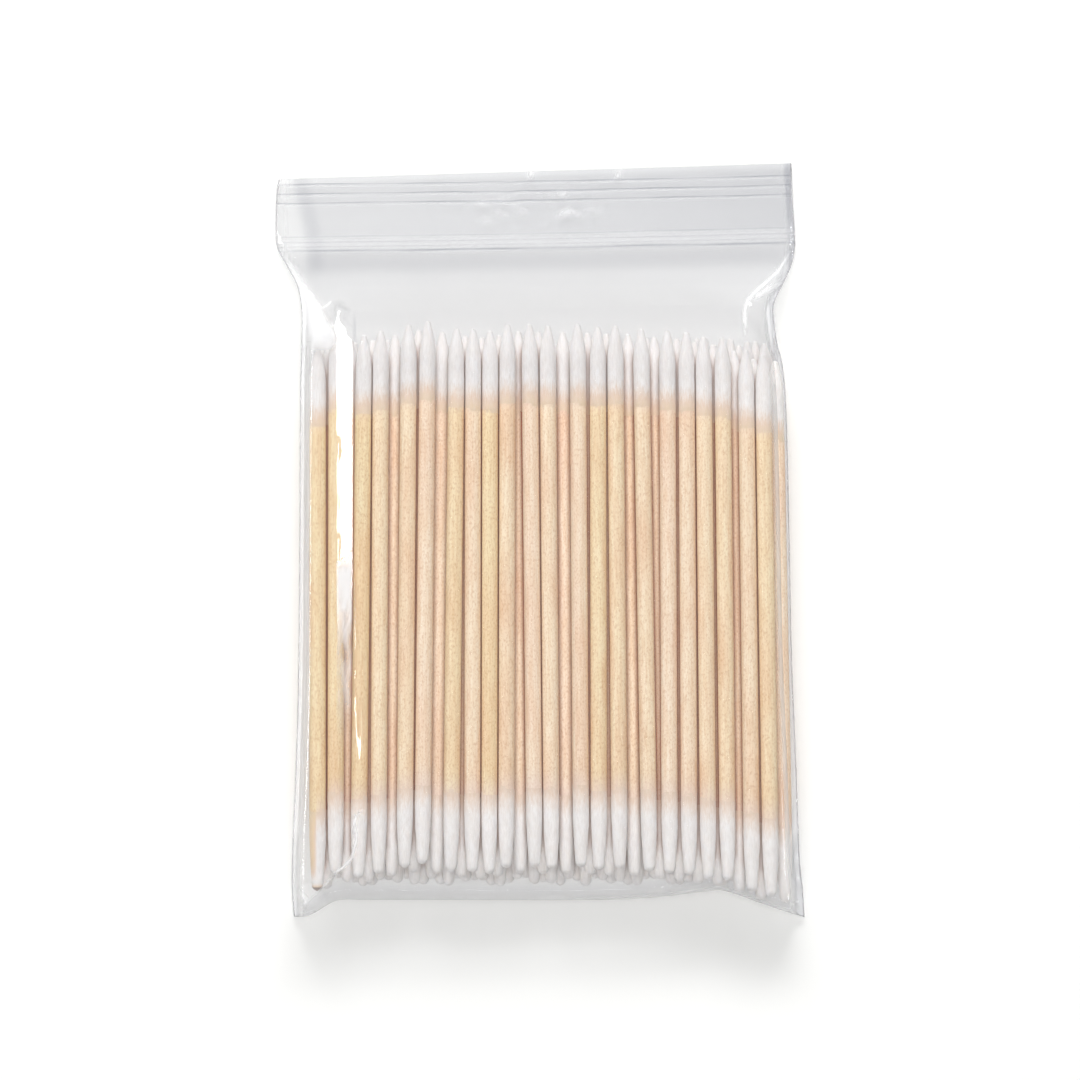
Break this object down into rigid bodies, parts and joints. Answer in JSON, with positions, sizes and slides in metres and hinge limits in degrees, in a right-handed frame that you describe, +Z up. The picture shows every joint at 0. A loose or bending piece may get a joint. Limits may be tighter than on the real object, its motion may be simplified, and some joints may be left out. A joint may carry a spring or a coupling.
{
  "type": "cotton swab bag",
  "caption": "Clear press-to-close film bag packed with slim double-ended wooden cotton swabs, lying flat on its back",
  "frame": {"origin": "middle of the bag's outline in X and Y, on the surface that its back lies on", "axes": "+X across the bag, +Y from the bottom fold to the mouth, +Z up through the pack, out of the front film"},
  "size_m": [0.0708, 0.1014, 0.0093],
  "materials": {
    "film": "clear glossy LDPE film",
    "wood": "plain birch, unvarnished",
    "cotton": "wound bleached cotton"
  },
  "bodies": {
    "root": {"bag_film": "film", "front_stick_01": "wood", "front_stick_02": "wood", "front_stick_03": "wood", "front_stick_04": "wood", "front_stick_05": "wood", "front_stick_06": "wood", "front_stick_07": "wood", "front_stick_08": "wood", "front_stick_09": "wood", "front_stick_10": "wood", "front_stick_11": "wood", "front_stick_12": "wood", "front_stick_13": "wood", "front_stick_14": "wood", "front_stick_15": "wood", "front_stick_16": "wood", "front_stick_17": "wood", "front_stick_18": "wood", "front_stick_19": "wood", "front_stick_20": "wood", "front_stick_21": "wood", "front_stick_22": "wood", "front_buds_01": "cotton", "front_buds_02": "cotton", "front_buds_03": "cotton", "front_buds_04": "cotton", "front_buds_05": "cotton", "front_buds_06": "cotton", "front_buds_07": "cotton", "front_buds_08": "cotton", "front_buds_09": "cotton", "front_buds_10": "cotton", "front_buds_11": "cotton", "front_buds_12": "cotton", "front_buds_13": "cotton", "front_buds_14": "cotton", "front_buds_15": "cotton", "front_buds_16": "cotton", "front_buds_17": "cotton", "front_buds_18": "cotton", "front_buds_19": "cotton", "front_buds_20": "cotton", "front_buds_21": "cotton", "front_buds_22": "cotton", "second_row_sticks": "wood", "second_row_buds": "cotton", "third_row_sticks": "wood", "third_row_buds": "cotton", "back_row_sticks": "wood", "back_row_buds": "cotton"}
  },
  "joints": []
}
